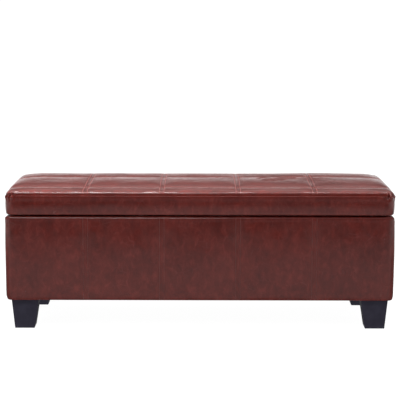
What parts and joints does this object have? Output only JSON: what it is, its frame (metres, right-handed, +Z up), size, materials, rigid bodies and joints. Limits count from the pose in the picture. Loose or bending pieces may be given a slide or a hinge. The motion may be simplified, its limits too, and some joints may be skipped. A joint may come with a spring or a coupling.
{
  "type": "lift-top storage bench",
  "caption": "Long upholstered storage bench: boarded box on tapered legs under a padded, stitched lid on rear hinges, held open by slotted stays.",
  "frame": {"origin": "on the floor, under the middle of the bench", "axes": "+X towards the bench's right end as seen from the front, +Y towards the hinged rear, +Z up"},
  "size_m": [1.27, 0.457, 0.462],
  "materials": {
    "leatherette": "glossy oxblood leatherette with a fine grain",
    "plywood": "bare birch plywood",
    "timber": "planed softwood",
    "foam": "open-cell upholstery foam",
    "lining": "black non-woven lining",
    "dust_cloth": "black non-woven dust cloth",
    "leg_finish": "satin black",
    "zinc_steel": "bright zinc plate",
    "black_steel": "satin black",
    "bumper_rubber": "matte black"
  },
  "bodies": {
    "box": {"front_panel": "plywood", "rear_panel": "plywood", "left_end_panel": "plywood", "right_end_panel": "plywood", "floor_panel": "plywood", "base_rails": "timber", "base_cross_rails": "timber", "leg_mount_blocks": "timber", "panel_screws": "zinc_steel", "front_foam": "foam", "rear_foam": "foam", "left_end_foam": "foam", "right_end_foam": "foam", "body_cover": "leatherette", "well_lining": "lining", "floor_lining": "lining", "dust_cover": "dust_cloth", "dust_cover_staples": "zinc_steel", "front_left_leg": "leg_finish", "front_right_leg": "leg_finish", "rear_left_leg": "leg_finish", "rear_right_leg": "leg_finish", "leg_tee_nuts": "zinc_steel", "leg_bolts": "zinc_steel", "rim_bumpers": "bumper_rubber", "hinge_box_leaves": "zinc_steel", "hinge_pins": "zinc_steel", "hinge_box_screws": "zinc_steel", "left_stay_peg": "black_steel", "right_stay_peg": "black_steel", "stay_peg_screws": "zinc_steel"},
    "lid": {"lid_board": "plywood", "lid_foam": "foam", "lid_edge_foam": "foam", "lid_cover": "leatherette", "lid_lining": "lining", "hinge_lid_leaves": "zinc_steel", "hinge_lid_screws": "zinc_steel", "left_lid_bracket": "black_steel", "right_lid_bracket": "black_steel", "lid_bracket_screws": "zinc_steel", "left_stay_rivet": "zinc_steel", "right_stay_rivet": "zinc_steel"},
    "left_stay": {"left_stay_arm": "black_steel"},
    "right_stay": {"right_stay_arm": "black_steel"}
  },
  "joints": [
    {"name": "lid_hinge", "type": "hinge", "parent": "box", "child": "lid", "pos_m": [0, 0.225, 0.3815], "axis": [-1, 0, 0], "range_deg": [0, 95]},
    {"name": "left_stay_pivot", "type": "hinge", "parent": "lid", "child": "left_stay", "pos_m": [-0.6, 0.09549, 0.37017], "axis": [-1, 0, 0], "range_deg": [-48, 0]},
    {"name": "right_stay_pivot", "type": "hinge", "parent": "lid", "child": "right_stay", "pos_m": [0.6, 0.09549, 0.37017], "axis": [-1, 0, 0], "range_deg": [-48, 0]}
  ],
  "couplings": [
    {"joint": "left_stay_pivot", "follows": "lid_hinge", "ratio": -0.5},
    {"joint": "right_stay_pivot", "follows": "lid_hinge", "ratio": -0.5}
  ]
}
